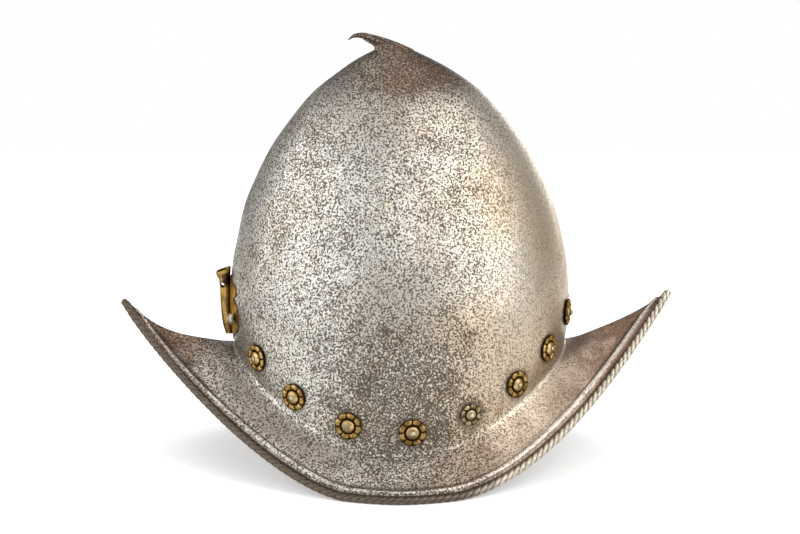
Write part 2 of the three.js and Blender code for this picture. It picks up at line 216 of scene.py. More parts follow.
def rollFrame(angle):  # centre of the turned edge, with its outward, upward and lengthwise axes
    angle = (angle + math.pi) % (2 * math.pi) - math.pi
    tip = 0.0 if abs(angle) < math.pi / 2 else math.pi
    fromTip = abs(angle) if tip == 0.0 else math.pi - abs(angle)
    share = fromTip / tipTurns[tip]
    if share < 1:
        side = math.copysign(1, angle)
        corner = side * (tipTurns[tip] if tip == 0.0 else math.pi - tipTurns[tip])
        centre, level, along = sideFrame(corner)
        heading = mix(tip * side, math.atan2(level.y, level.x), share)
        level = Vector((math.cos(heading), math.sin(heading), 0))
        edge = rimPoint(angle)[0]
        forward = Vector((0, 1 if tip == 0.0 else -1, 0))
        centre = Vector((edge.x - level.x * rim["roll"], centre.y * share, edge.z))
        along = forward.lerp(along, share**0.5).normalized()
    else:
        centre, level, along = sideFrame(angle)
    up = level.cross(along).normalized()
    tilt = mix(rim["sideTilt"], rim["tipTilt"], rimPoint(angle)[1])
    out = level * math.cos(tilt) + up * math.sin(tilt)
    top = up * math.cos(tilt) - level * math.sin(tilt)
    return centre, out, top, along


# Modelling helpers


def deselect():
    if bpy.context.object and bpy.context.object.mode != "OBJECT":
        bpy.ops.object.mode_set(mode="OBJECT")
    bpy.ops.object.select_all(action="DESELECT")


def makeActive(obj):
    deselect()
    obj.select_set(True)
    bpy.context.view_layer.objects.active = obj


def closeAndSmooth(obj, angle=None):  # merge doubles, turn faces outwards, shade
    makeActive(obj)
    bpy.ops.object.mode_set(mode="EDIT")
    bpy.ops.mesh.select_all(action="SELECT")
    bpy.ops.mesh.remove_doubles(threshold=0.000002)
    bpy.ops.mesh.normals_make_consistent(inside=False)
    bpy.ops.object.mode_set(mode="OBJECT")
    if angle is None:
        bpy.ops.object.shade_smooth()
    else:
        bpy.ops.object.shade_smooth_by_angle(angle=math.radians(angle))
    deselect()
    return obj


def paintPoints(obj, name, values):
    attribute = obj.data.attributes.new(name, "FLOAT", "POINT")
    attribute.data.foreach_set("value", values)


def spherePiece(name, loops, startPoint, endPoint, paints=None):
    # a sphere whose rings are drawn out to the given loops, closed at two points
    count = len(loops[0])
    rings = len(loops) + 1
    deselect()
    bpy.ops.mesh.primitive_uv_sphere_add(segments=count, ring_count=rings, radius=1)
    obj = bpy.context.object
    obj.name = obj.data.name = name
    tones = {key: [] for key in (paints or {})}
    for vertex in obj.data.vertices:
        polar = math.acos(max(-1.0, min(1.0, vertex.co.z)))
        ring = round(polar / math.pi * rings)
        segment = round(math.atan2(vertex.co.y, vertex.co.x) / (2 * math.pi) * count) % count
        if ring == 0:
            place = startPoint
        elif ring == rings:
            place = endPoint
        else:
            place = loops[ring - 1][segment]
        vertex.co = place * mm
        for key, rows in (paints or {}).items():
            row = rows[max(0, min(len(loops) - 1, ring - 1))]
            tones[key].append(row[segment] if isinstance(row, list) else row)
    for key, values in tones.items():
        paintPoints(obj, key, values)
    return obj


def ringPiece(name, loops, paints=None):
    # a circle spun to a ring and drawn out to the given loops, the last one next to the first
    count = len(loops[0])
    deselect()
    bpy.ops.mesh.primitive_circle_add(
        vertices=len(loops), radius=0.25, location=(1, 0, 0), rotation=(math.pi / 2, 0, 0)
    )
    obj = bpy.context.object
    obj.name = obj.data.name = name
    bpy.ops.object.transform_apply(location=True, rotation=True)
    bpy.ops.object.mode_set(mode="EDIT")
    bpy.ops.mesh.select_all(action="SELECT")
    bpy.ops.mesh.spin(steps=count, angle=2 * math.pi, center=(0, 0, 0), axis=(0, 0, 1))
    bpy.ops.object.mode_set(mode="OBJECT")
    tones = {key: [] for key in (paints or {})}
    for vertex in obj.data.vertices:
        x, y, z = vertex.co
        segment = round(math.atan2(y, x) / (2 * math.pi) * count) % count
        ring = round(math.atan2(z, math.hypot(x, y) - 1) / (2 * math.pi) * len(loops)) % len(loops)
        vertex.co = loops[ring][segment] * mm
        for key, rows in (paints or {}).items():
            tones[key].append(rows[ring][segment])
    for key, values in tones.items():
        paintPoints(obj, key, values)
    return obj


def copyTo(model, name, matrix):
    piece = model.copy()
    piece.data = model.data.copy()
    piece.name = piece.data.name = name
    bpy.context.scene.collection.objects.link(piece)
    piece.data.transform(matrix)
    return piece


def seatOn(point, normal):  # a place on the skull, its Z axis along the face's normal
    turn = normal.to_track_quat("Z", "Y").to_matrix().to_4x4()
    return Matrix.Translation(point * mm) @ turn


# Materials


def hexColor(text):
    parts = [int(text[k : k + 2], 16) / 255 for k in (1, 3, 5)]
    return [p / 12.92 if p <= 0.04045 else ((p + 0.055) / 1.055) ** 2.4 for p in parts] + [1.0]


def addNode(tree, kind, inputs=None, **settings):  # an input is a socket, a number, a tuple or a hex colour
    node = tree.nodes.new("ShaderNode" + kind)
    for name, value in settings.items():
        setattr(node, name, value)
    for key, value in (inputs or {}).items():
        if isinstance(value, bpy.types.NodeSocket):
            tree.links.new(value, node.inputs[key])
        else:
            node.inputs[key].default_value = hexColor(value) if isinstance(value, str) else value
    return node


def makeSurface(name, look):
    # takes a look's paints and noises through its steps, then lays its colours over the base by their shares
    material = bpy.data.materials.new(name)
    material.use_nodes = True
    tree = material.node_tree
    tree.nodes.clear()
    place = addNode(tree, "TexCoord").outputs["Object"]
    made = dict(zip("xyz", addNode(tree, "SeparateXYZ", {0: place}).outputs))
    for paint in look["paints"]:
        made[paint] = addNode(tree, "Attribute", attribute_name=paint).outputs["Fac"]
    for noiseName, size, detail, rough, shift, stretch in look["noises"]:
        moved = addNode(tree, "Mapping", {"Vector": place, "Location": (shift,) * 3, "Scale": (1, 1, stretch)})
        lumps = {"Vector": moved.outputs[0], "Scale": 1 / (size * mm), "Detail": detail, "Roughness": rough}
        made[noiseName] = addNode(tree, "TexNoise", lumps).outputs["Fac"]
    for step, deed, *operands in look["steps"]:
        inputs = dict(enumerate(made.get(operand, operand) for operand in operands))
        if deed == "ramp":
            node = addNode(tree, "MapRange", inputs, interpolation_type="SMOOTHSTEP")
        else:
            node = addNode(tree, "Math", inputs, operation=deed, use_clamp=deed == "MULTIPLY")
        made[step] = node.outputs[0]
    color = look["base"]
    for share, over in look["layers"]:
        color = addNode(tree, "Mix", {0: made[share], 6: color, 7: over}, data_type="RGBA").outputs[2]
    inputs = {"Base Color": color, **look["shader"]}
    if "roughness" in made:
        inputs["Roughness"] = made["roughness"]
    if "relief" in made:
        strength, bite = look["bump"]
        relief = {"Height": made["relief"], "Strength": strength, "Distance": bite * mm}
        inputs["Normal"] = addNode(tree, "Bump", relief).outputs[0]
    shader = addNode(tree, "BsdfPrincipled", inputs)
    addNode(tree, "OutputMaterial", {"Surface": shader.outputs[0]})
    return material


# A noise has its name, the size of its lumps in mm, detail, roughness, shift and stretch along z.
# A step has its name, a Math operation and two values, or a ramp: what it reads, the two ends of the ramp
# and its value at each. Ends on x and z are metres. The steps named roughness and relief feed the shader.

steelLook = {
    # forged steel, once rusted and scoured bright again: silver between fine dark pits, tan and brown patina
    "noises": [
        ("speck", 1.15, 2.0, 0.6, 0.0, 1.0),  # the finest pits that show at the photo's scale
        ("pits", 2.5, 3.0, 0.7, 3.1, 1.0),
        ("cluster", 16.0, 3.0, 0.6, 7.7, 1.0),
        ("patch", 55.0, 3.0, 0.55, 1.3, 1.0),
        ("streak", 22.0, 3.0, 0.55, 4.2, 0.22),
    ],
    "paints": ["stain", "brim", "polishAndHighlight", "inside"],
    "steps": [
        # the front is smoother, and the low middle of the skull is more deeply pitted
        ("front", "ramp", "x", 0.025, 0.1, 0.0, 1.0),
        ("lowLevel", "ramp", "z", 0.06, 0.125, 1.0, 0.0),
        ("lowFront", "ramp", "x", 0.02, 0.055, 1.0, 0.0),
        ("lowRear", "ramp", "x", -0.06, -0.02, 0.0, 1.0),
        ("lowSkull", "ramp", "brim", 0.0, 1.0, 1.0, 0.3),
        ("low", "MULTIPLY", "lowLevel", "lowFront"),
        ("low", "MULTIPLY", "low", "lowRear"),
        ("low", "MULTIPLY", "low", "lowSkull"),
        ("fromMean", "SUBTRACT", "cluster", 0.5),
        ("spread", "MULTIPLY", "fromMean", 0.22),
        ("lowPits", "MULTIPLY", "low", 0.08),
        ("spread", "ADD", "spread", "lowPits"),
        ("apexPits", "ramp", "z", 0.22, 0.25, 0.0, 0.05),
        ("spread", "ADD", "spread", "apexPits"),
        ("frontClear", "MULTIPLY", "front", 0.03),
        ("spread", "SUBTRACT", "spread", "frontClear"),
        # fewer pits where the polish and painted highlight lie
        ("polishAndHighlightClear", "MULTIPLY", "polishAndHighlight", 0.02),
        ("spread", "SUBTRACT", "spread", "polishAndHighlightClear"),
        ("coarse", "ADD", "pits", "spread"),
        ("coarse", "ramp", "coarse", 0.55, 0.66, 0.0, 0.5),
        ("fine", "ADD", "speck", "spread"),
        ("fine", "ramp", "fine", 0.45, 0.59, 0.0, 0.9),
        ("pitted", "MAXIMUM", "coarse", "fine"),
        ("frontShare", "ramp", "front", 0.0, 1.0, 1.0, 0.6),
        ("pitted", "MULTIPLY", "pitted", "frontShare"),
        ("stainShare", "ramp", "stain", 0.3, 1.0, 1.0, 0.3),
        ("pitted", "MULTIPLY", "pitted", "stainShare"),
        # tan patina, which grows to the front and low down
        ("warmFront", "ramp", "x", -0.03, 0.06, 0.0, 0.35),
        ("warmPatch", "ramp", "patch", 0.3, 0.7, -0.12, 0.12),
        ("warmth", "ADD", "warmFront", "warmPatch"),
        ("warmLow", "ramp", "z", 0.02, 0.12, 0.12, 0.0),
        ("warmth", "ADD", "warmth", "warmLow"),
        ("warmEnd", "ramp", "x", 0.07, 0.095, 0.0, 0.15),
        ("warmth", "ADD", "warmth", "warmEnd"),
        ("warm", "ramp", "warmth", -0.1, 0.62, 0.0, 0.9),
        ("warmStreak", "ramp", "streak", 0.5, 0.7, 0.0, 0.35),
        ("warm", "MAXIMUM", "warm", "warmStreak"),
        ("warmSkull", "ramp", "brim", 0.0, 1.0, 1.0, 0.75),
        ("warm", "MULTIPLY", "warm", "warmSkull"),
        # brown patina at the apex, on the brim and most of all at its tips
        ("patchFromMean", "SUBTRACT", "patch", 0.5),
        ("apex", "ramp", "z", 0.212, 0.248, 0.0, 1.0),
        ("apex", "ADD", "apex", "patchFromMean"),
        ("apex", "ramp", "apex", 0.2, 0.85, 0.0, 0.88),
        ("apexRear", "ramp", "x", -0.03, 0.0, 0.5, 1.0),
        ("apex", "MULTIPLY", "apex", "apexRear"),
        ("apexFront", "ramp", "x", 0.03, 0.06, 1.0, 0.4),
        ("apex", "MULTIPLY", "apex", "apexFront"),
        ("fromMiddle", "ABSOLUTE", "x", 0.0),
        ("ends", "ramp", "fromMiddle", 0.1, 0.165, 0.0, 1.0),
        ("tips", "MULTIPLY", "brim", "ends"),
        ("tips", "MULTIPLY", "tips", 0.75),
        ("rear", "ramp", "x", -0.09, 0.0, 1.0, 0.0),
        ("rearBrim", "MULTIPLY", "brim", "rear"),
        ("rearBrim", "MULTIPLY", "rearBrim", 0.3),
        ("browned", "ADD", "tips", "rearBrim"),
        ("frontBrim", "ramp", "x", 0.0, 0.05, 0.3, 0.68),
        ("frontBrim", "MULTIPLY", "brim", "frontBrim"),
        ("browned", "ADD", "browned", "frontBrim"),
        ("brownCluster", "ramp", "cluster", 0.3, 0.6, 0.6, 1.0),
        ("browned", "MULTIPLY", "browned", "brownCluster"),
        ("browned", "MAXIMUM", "apex", "browned"),
        # rust left in a few clusters, a painted highlight along the fillet, and rubbed polish with a painted
        # highlight on the ridge's crest
        ("rust", "ramp", "cluster", 0.5, 0.66, 0.0, 1.0),
        ("rustPatch", "ramp", "patch", 0.5, 0.62, 0.0, 0.2),
        ("rust", "MULTIPLY", "rust", "rustPatch"),
        ("polishAndHighlightShare", "MULTIPLY", "polishAndHighlight", 0.5),
        ("roughness", "MULTIPLY", "pitted", 0.2),
        ("warmDull", "MULTIPLY", "warm", 0.06),
        ("roughness", "ADD", "roughness", "warmDull"),
        ("clusterDull", "MULTIPLY", "cluster", 0.2),
        ("roughness", "ADD", "roughness", "clusterDull"),
        ("roughness", "ADD", "roughness", 0.22),
        ("relief", "MULTIPLY", "speck", 0.4),
        ("relief", "SUBTRACT", "relief", "pitted"),
    ],
    "base": "#cdcac3",
    "layers": [
        ("warm", "#bea98d"),
        ("rust", "#80604b"),
        ("browned", "#786051"),
        # lighter on the ridge's crest for rubbed polish and a painted highlight, and along the fillet for a
        # painted highlight
        ("polishAndHighlightShare", "#dcd9d2"),
        ("pitted", "#41372c"),
        ("stain", "#30261e"),
        ("inside", "#5c5148"),
    ],
    "bump": (0.8, 0.12),  # strength, and depth in mm
    "shader": {"Metallic": 1.0},
}

ropeLook = {
    # the turned edge, filed into strands: bright on the strands, black dirt in the grooves, worn at the rear
    "noises": [("speck", 1.4, 2.0, 0.7, 0.0, 1.0), ("patch", 17.0, 3.0, 0.6, 2.2, 1.0)],
    "paints": ["groove"],
    "steps": [
        ("patchFromMean", "SUBTRACT", "patch", 0.5),
        ("worn", "ramp", "x", 0.02, 0.09, 1.0, 0.0),
        ("worn", "ADD", "worn", "patchFromMean"),
        ("worn", "ramp", "worn", 0.1, 0.9, 0.0, 1.0),
        ("pitted", "ramp", "speck", 0.52, 0.66, 0.0, 0.6),
        ("roughness", "ramp", "speck", 0.3, 0.7, 0.28, 0.5),
        ("relief", "ADD", "speck", 0.0),
    ],
    "base": "#b8af9f",
    "layers": [("worn", "#5f554b"), ("pitted", "#41372c"), ("groove", "#1d1712")],
    "bump": (0.5, 0.1),
    "shader": {"Metallic": 1.0},
}

ironLook = {
    # rivet heads, rubbed pale on top, with green and brown left round them
    "noises": [("patch", 2.4, 3.0, 0.6, 0.0, 1.0)],
    "paints": ["hollow"],
    "steps": [
        ("dull", "ramp", "patch", 0.45, 0.62, 0.0, 1.0),
        ("roughness", "ramp", "patch", 0.3, 0.7, 0.3, 0.5),
        ("relief", "ADD", "patch", 0.0),
    ],
    "base": "#b9b497",
    "layers": [("dull", "#77725a"), ("hollow", "#3a3122")],
    "bump": (0.4, 0.1),
    "shader": {"Metallic": 1.0},
}


def brassLook(bright, body, dirtAndShade, green=0.0):
    # cast and hammered brass: yellow on the high places, brown dirt in the rosettes' hollows and painted shade
    # in the plume holder's, paler where it is rubbed
    return {
        "noises": [("speck", 1.1, 3.0, 0.7, 0.0, 1.0), ("patch", 6.0, 3.0, 0.6, 5.1, 1.0)],
        "paints": ["hollow", "rubbed", "age"],
        "steps": [
            ("body", "ramp", "patch", 0.38, 0.62, 0.0, 1.0),
            ("specks", "ramp", "speck", 0.55, 0.72, 0.0, 0.6),
            ("green", "ramp", "patch", 0.5, 0.66, 0.0, green),
            ("rubbed", "MULTIPLY", "rubbed", 0.4),
            ("age", "MULTIPLY", "age", 0.4),
            ("roughness", "ramp", "patch", 0.3, 0.7, 0.26, 0.48),
            ("relief", "ADD", "speck", 0.0),
        ],
        "base": bright,
        "layers": [
            ("body", body),
            ("specks", dirtAndShade),
            ("green", "#6f7a5c"),
            ("rubbed", "#cdb48c"),
            ("age", dirtAndShade),
            # dirt in the rosettes' hollows, painted shade in the bore, behind the plate and on the neck of the
            # plume holder
            ("hollow", dirtAndShade),
        ],
        "bump": (0.4, 0.12),
        "shader": {"Metallic": 1.0, "Specular Tint": "#d9c6a2"},  # the tint keeps brass yellow at its edges
    }


steel = makeSurface("pitted_forged_steel", steelLook)
edgeSteel = makeSurface("filed_steel_edge", ropeLook)
brass = makeSurface("aged_brass", brassLook("#b8995f", "#7d6234", "#2a1b0b"))
# its darkest colour is dirt in the specks and painted shade in the plume holder's hollows
holderBrass = makeSurface("holder_brass", brassLook("#a98a55", "#7b6136", "#251a0d"))
corroded = makeSurface("corroded_brass", brassLook("#b5a680", "#6f6548", "#32281a", 0.5))
iron = makeSurface("rubbed_iron", ironLook)
print("materials made")


# Rosettes: eight pads round a domed boss

rosette = {
    "height": 2.7,
    "boss": 4.3,  # radius of the boss
    "bossFoot": 0.5,
    "ringHeight": 0.35,  # of the sunk ring round the boss
    "padStart": 5.0,
    "padFoot": 0.4,
    "padHeight": 1.3,
    "pads": 8,
    "scallop": 0.13,  # how far the rim is drawn in between the pads, as a share
    "dimple": 0.2,
    "radii": [  # from the rivet's hole to the rim
        1.6, 2.2, 2.9, 3.5, 3.95, 4.25, 4.34, 4.4, 4.9, 5.0, 5.15,
        5.4, 5.8, 6.2, 6.6, 7.0, 7.4, 7.8, 8.1, 8.35, 8.5,
    ],
    "back": [(8.5, 0.35), (8.3, 0.0), (4.0, 0.0), (1.6, 0.0)],  # radius and height of the rim and the flat back
    "points": 96,
    "gap": 0.3,  # clear of the skull, as in the CAD model
    "plainGrain": 0.08,  # height of the unevenness
    "eatenGrain": 0.8,
    "halo": 0.55,  # dark patina on the steel round each
    "haloEdge": (10.8, 9.2),
    "haloTop": 130.0,
    "places": [  # angle from the front, lift above the junction, size on the right side
        (10, 24.5, 1.0),
        (29, 18.5, 1.0),
        (46, 15.5, 1.0),
        (64.5, 15.5, 0.8),
        (85, 14.5, 1.0),
        (108.5, 13.5, 1.0),
        (129, 13.5, 1.0),
        (147, 17.5, 1.0),
    ],
}


def rosetteSeats():  # place, normal and size of each, the wearer's right side first
    seats = []
    for side in (-1, 1):
        for angle, lift, rightSize in rosette["places"]:
            turn = math.radians(side * angle)
            up = upAtLift(turn, lift)
            seats.append((skullPoint(turn, up), skullNormal(turn, up), rightSize if side < 0 else 1.0))
    return seats


# Forged shell: stalk, skull, brim, border and the core of the turned edge in one closed skin

shell = {
    "columns": 384,
    "skullRows": 78,
    "fillet": 2.6,
    "filletRows": 6,
    "brimRows": 13,
    "ridgeSpan": 9.8,
    "border": [  # distance in from the turned edge, height
        (0.0, -0.5),
        (1.0, -0.75),
        (2.2, -0.75),
        (3.1, -0.35),
        (4.0, 0.5),
        (4.9, 1.0),
        (6.0, 1.05),
        (7.2, 0.6),
        (8.5, 0.15),
        (9.8, 0.0),
    ],
    "borderRows": 20,
    "core": 1.5,  # radius of the plain core inside the roped edge
    "attach": math.radians(157.5),  # where the brim runs into the turned edge
    "sideSag": 2.2,
    "frontSag": 2.8,
    "rearSag": 7.5,
    "lowestUp": 0.015,  # place of the skull's last row, above its fillet
    "hollowUp": 0.93,
    "innerStep": 3,  # the inner face has one row for this many outer ones
    "innerCrown": (0.009, 24.0),  # lean, as a share of the length, and depth of the inner face's highest point
    "coreTurns": (150, 100, 50, 0, -50, -100, -140),
    "dirtAndShade": 0.75,
    "dirtEdge": (3.6, 1.4),  # distances in from the turned edge, like the next two
    # lighter steel on the ridge's crest, for rubbed polish and a painted highlight, and a painted highlight
    # along the fillet
    "polishAndHighlightRise": (3.4, 4.6),
    "polishAndHighlightFall": (7.6, 6.4),
    "filletPaintedHighlight": 0.5,
    "dents": 0.3,
    "dentSize": 30.0,
    "smallDents": 0.35,
    "dentTop": (256.0, 236.0),
    "dentFoot": (8.0, 30.0),
}

stalk = {
    "reach": 32.0,
    "rise": 11.2,
    "width": 14.0,
    "flute": 0.2,  # depth of its grooves as a share of its thickness
    "flutes": 6,
    "fluteRun": (0.05, 0.4),
    "stainRun": (0.1, 0.45),
    "stain": (0.1, 0.9),  # on its ridges and in its grooves
    "steps": 30,
    "rows": [  # place along it, then under edge x and z, upper edge x and z, and width, as shares
        (0.0, -0.48, 0.0, 0.30, 0.0, 1.0),
        (0.1, -0.49, 0.1, 0.235, 0.11, 0.84),
        (0.3, -0.55, 0.3, 0.02, 0.4, 0.6),
        (0.48, -0.67, 0.5, -0.27, 0.7, 0.42),
        (0.64, -0.75, 0.66, -0.53, 0.9, 0.33),
        (0.78, -0.84, 0.7, -0.72, 1.0, 0.27),
        (0.9, -0.92, 0.66, -0.88, 0.92, 0.2),
        (0.98, -0.975, 0.58, -0.965, 0.7, 0.1),
    ],
    "tip": (-1.0, 0.54),
}


def stalkLoop(along):
    underX, underZ, overX, overZ, width = [curveThrough(stalk["rows"], k, along) for k in range(1, 6)]
    under = Vector((underX * stalk["reach"], 0, underZ * stalk["rise"]))
    over = Vector((overX * stalk["reach"], 0, overZ * stalk["rise"]))
    centre, half = (under + over) / 2, (over - under) / 2
    base = Vector((rim["middleX"], 0, skull["crown"]))
    loop, stains = [], []
    for k in range(shell["columns"]):
        angle = 2 * math.pi * k / shell["columns"]
        groove = smoothStep(*stalk["fluteRun"], along) * (0.5 + 0.5 * math.cos(stalk["flutes"] * angle))
        flute = 1 - stalk["flute"] * groove
        point = base + centre + half * math.cos(angle) * flute
        point.y = width * stalk["width"] / 2 * math.sin(angle) * flute
        loop.append(point)
        stains.append(smoothStep(*stalk["stainRun"], along) * mix(*stalk["stain"], groove))
    return loop, stains


def brimColumn(angle):
    centre, out, top, along = rollFrame(angle)
    start = skullPoint(angle, 0)
    attach = out * math.cos(shell["attach"]) + top * math.sin(shell["attach"])
    end = centre + attach * rim["roll"]
    reach = end - start
    skew = max(0.5, reach.cross(along).length / reach.length)
    share = signedPower(math.cos(angle), 2 / skull["baseFullness"])
    sag = mix(shell["sideSag"], shell["frontSag"] if share > 0 else shell["rearSag"], share**4)

    def at(part):
        bow = part**1.5
        return start + reach * part - Vector((0, 0, sag * 4 * bow * (1 - bow)))

    points, stains, brims, polishAndHighlights = [], [], [], []
    lift = upAtLift(angle, shell["fillet"])
    filletStart, filletShare = skullPoint(angle, lift), shell["fillet"] / reach.length
    filletEnd = at(filletShare)
    for k in range(1, shell["filletRows"] + 1):
        t = k / shell["filletRows"]
        points.append(filletStart * (1 - t) ** 2 + start * 2 * t * (1 - t) + filletEnd * t * t)
        stains.append(0.0)
        brims.append(0.5 * t)
        # painted highlight along the fillet
        polishAndHighlights.append(shell["filletPaintedHighlight"] * math.sin(math.pi * t) if t < 1 else 0.0)
    foot = 1 - shell["ridgeSpan"] / skew / reach.length
    for k in range(1, shell["brimRows"] + 1):
        points.append(at(mix(filletShare, foot, k / shell["brimRows"])))
        stains.append(0.0)
        brims.append(mix(0.5, 1.0, smoothStep(0, 3, k)))
        polishAndHighlights.append(0.0)
    for k in range(1, shell["borderRows"] + 1):
        away = shell["ridgeSpan"] * (1 - k / shell["borderRows"])
        height = curveThrough(shell["border"], 1, away)
        points.append(at(1 - away / skew / reach.length) + top * height)
        stains.append(shell["dirtAndShade"] * smoothStep(*shell["dirtEdge"], away))
        brims.append(1.0)
        # rubbed polish and a painted highlight on the ridge's crest
        polishAndHighlights.append(smoothStep(*shell["polishAndHighlightRise"], away) * smoothStep(*shell["polishAndHighlightFall"], away))
    core = []
    for turn in shell["coreTurns"]:
        spoke = math.radians(turn)
        core.append(centre + (out * math.cos(spoke) + top * math.sin(spoke)) * shell["core"])
    return points, core, stains, brims, polishAndHighlights


def acrossColumns(columns, part):  # rows of one part of all the columns
    return [[column[part][i] for column in columns] for i in range(len(columns[0][part]))]


def offsetInside(loops, row, k):  # a wall's thickness behind the outer face
    count = len(loops[row])
    around = loops[row][(k + 1) % count] - loops[row][k - 1]
    down = loops[row + 1][k] - loops[row - 1][k]
    return loops[row][k] - down.cross(around).normalized() * skull["wall"]


def makeShell():
    count = shell["columns"]
    angles = [2 * math.pi * k / count for k in range(count)]
    columns = [brimColumn(angle) for angle in angles]
    tops = [stalkLoop(1 - k / stalk["steps"]) for k in range(stalk["steps"] - 1)]
    span = 1 - shell["lowestUp"]
    ups = [1 - span * k / shell["skullRows"] for k in range(shell["skullRows"])]
    skin = []
    for up in ups:
        row = []
        for angle in angles:
            low = upAtLift(angle, shell["fillet"])
            row.append(skullPoint(angle, mix(low, 1.0, (up - shell["lowestUp"]) / span)))
        skin.append(row)
    skin += acrossColumns(columns, 0)
    core = acrossColumns(columns, 1)
    firstInner = next(i for i, up in enumerate(ups) if up < shell["hollowUp"])
    rows = list(range(firstInner, len(skin) - 1, shell["innerStep"]))
    inner = [[offsetInside(skin, row, k) for k in range(count)] for row in reversed(rows)]

    loops = [loop for loop, tones in tops] + skin + core + inner
    above = len(tops) + len(ups)
    stains = [tones for loop, tones in tops] + [0.0] * len(ups) + acrossColumns(columns, 2)
    paints = {
        "stain": stains + [1.0] * len(core) + [0.0] * len(inner),
        "brim": [0.0] * above + acrossColumns(columns, 3) + [1.0] * len(core) + [0.0] * len(inner),
        "polishAndHighlight": [0.0] * above + acrossColumns(columns, 4) + [0.0] * (len(core) + len(inner)),
        "inside": [0.0] * (len(tops) + len(skin)) + [0.6] * len(core) + [1.0] * len(inner),
    }
    base = Vector((rim["middleX"], 0, skull["crown"]))
    tip = base + Vector((stalk["tip"][0] * stalk["reach"], 0, stalk["tip"][1] * stalk["rise"]))
    lean, depth = shell["innerCrown"]
    obj = spherePiece("forged_shell", loops, tip, base - Vector((skull["length"] * lean, 0, depth)), paints)

    # dark patina round each rosette, and hammer marks and old knocks, kept off the stalk and the edge
    stain = obj.data.attributes["stain"].data
    seats = [place for place, normal, size in rosetteSeats()]
    for vertex in obj.data.vertices:
        p = vertex.co / mm
        if p.z < rosette["haloTop"]:
            near = min((p - place).length for place in seats)
            halo = rosette["halo"] * smoothStep(*rosette["haloEdge"], near)
            stain[vertex.index].value = max(stain[vertex.index].value, halo)
        away = Vector((p.x - rim["middleX"], p.y, 0))
        if away.length < 1:
            continue
        keep = smoothStep(*shell["dentTop"], p.z) * smoothStep(*shell["dentFoot"], p.z)
        dent = noise.noise(p / shell["dentSize"]) + shell["smallDents"] * noise.noise(p / shell["dentSize"] * 3)
        vertex.co += away.normalized() * dent * shell["dents"] * keep * mm
    closeAndSmooth(obj)
    obj.data.materials.append(steel)
    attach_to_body(obj, "root")
    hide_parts("helmet_shell")
    print("shell made:", len(obj.data.polygons), "faces")
    return obj


makeShell()


# Roped edge: strands filed slantwise into the turned edge

rope = {
    "pitch": 5.0,
    "turns": 3,  # strands crossed once round the bead, which sets the slant
    "steps": 12,  # points along one strand
    "sides": 20,
    "depth": 0.72,  # of the grooves where they are least worn
    "wornDepth": 0.34,
    "fullness": 0.6,  # under 1 swells the strands and narrows the grooves
    "grooveEdge": (0.65, 0.2),
    "sharpRun": (-30.0, 95.0),  # worn at the rear, sharp in front
    "patchShare": 0.15,  # how much of the wear is in patches
    "patchSize": 22.0,
    "samples": 6000,  # places along the edge at which its length is measured
}


def makeRope():
    angles = [-math.pi + 2 * math.pi * k / rope["samples"] for k in range(rope["samples"] + 1)]
    edge = []
    for angle in angles:
        centre, out, top, along = rollFrame(angle)
        edge.append(centre + out * rim["roll"])
    lengths = [0.0]
    for before, after in zip(edge, edge[1:]):
        lengths.append(lengths[-1] + (after - before).length)
    strands = round(lengths[-1] / rope["pitch"])
    count = strands * rope["steps"]
    places, i = [], 0
    for k in range(count):
        goal = lengths[-1] * k / count
        while lengths[i + 1] < goal:
            i += 1
        places.append(mix(angles[i], angles[i + 1], (goal - lengths[i]) / (lengths[i + 1] - lengths[i])))
    loops = [[] for _ in range(rope["sides"])]
    grooves = [[] for _ in range(rope["sides"])]
    for k, angle in enumerate(places):
        centre, out, top, along = rollFrame(angle)
        patch = 0.5 + noise.noise(centre / rope["patchSize"])
        sharp = mix(smoothStep(*rope["sharpRun"], centre.x), patch, rope["patchShare"])
        depth = mix(rope["wornDepth"], rope["depth"], max(0.0, min(1.0, sharp)))
        for side in range(rope["sides"]):
            spoke = 2 * math.pi * side / rope["sides"]
            phase = k / rope["steps"] - rope["turns"] * side / rope["sides"]
            pillow = abs(math.sin(math.pi * phase)) ** rope["fullness"]
            radius = rim["roll"] - depth * (1 - pillow)
            loops[side].append(centre + (out * math.cos(spoke) + top * math.sin(spoke)) * radius)
            grooves[side].append(smoothStep(*rope["grooveEdge"], pillow) * mix(0.55, 1.0, sharp))
    obj = ringPiece("roped_edge", loops, {"groove": grooves})
    closeAndSmooth(obj)
    obj.data.materials.append(edgeSteel)
    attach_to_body(obj, "root")
    print("roped edge made:", strands, "strands,", len(obj.data.polygons), "faces")


makeRope()


# Rosettes: modelled once and copied


def rosetteHeight(r, turn):  # height, dirt and how near a gap between pads it is
    spacing = 2 * math.pi / rosette["pads"]
    across = 2 * abs((turn / spacing + 0.5) % 1 - 0.5)  # from 0 in a gap to 1 on the middle of a pad
    swell = math.sqrt(1 - (1 - across) ** 2)
    if r < rosette["boss"]:
        dome = math.sqrt(1 - (r / rosette["boss"]) ** 2)
        return mix(rosette["bossFoot"], rosette["height"], dome), smoothStep(3.9, 4.3, r), 0.0
    if r < rosette["padStart"]:
        return rosette["ringHeight"], 1.0, 0.0
    share = (r - rosette["padStart"]) / (rosette["radii"][-1] - rosette["padStart"])
    crown = math.sin(math.pi * min(1.0, share * 0.92 + 0.04)) ** 0.6
    dimple = rosette["dimple"] * math.exp(-(((share - 0.5) / 0.24) ** 2)) * smoothStep(0.6, 1.0, across)
    height = rosette["padFoot"] + rosette["padHeight"] * crown * swell**0.8 - dimple
    gapDirt, footDirt = smoothStep(0.75, 0.35, swell), smoothStep(0.15, 0.0, share)
    rimDirt = 0.8 * smoothStep(0.9, 1.0, share)
    return height, max(gapDirt, footDirt, rimDirt, 1.2 * dimple), (1 - across) ** 2


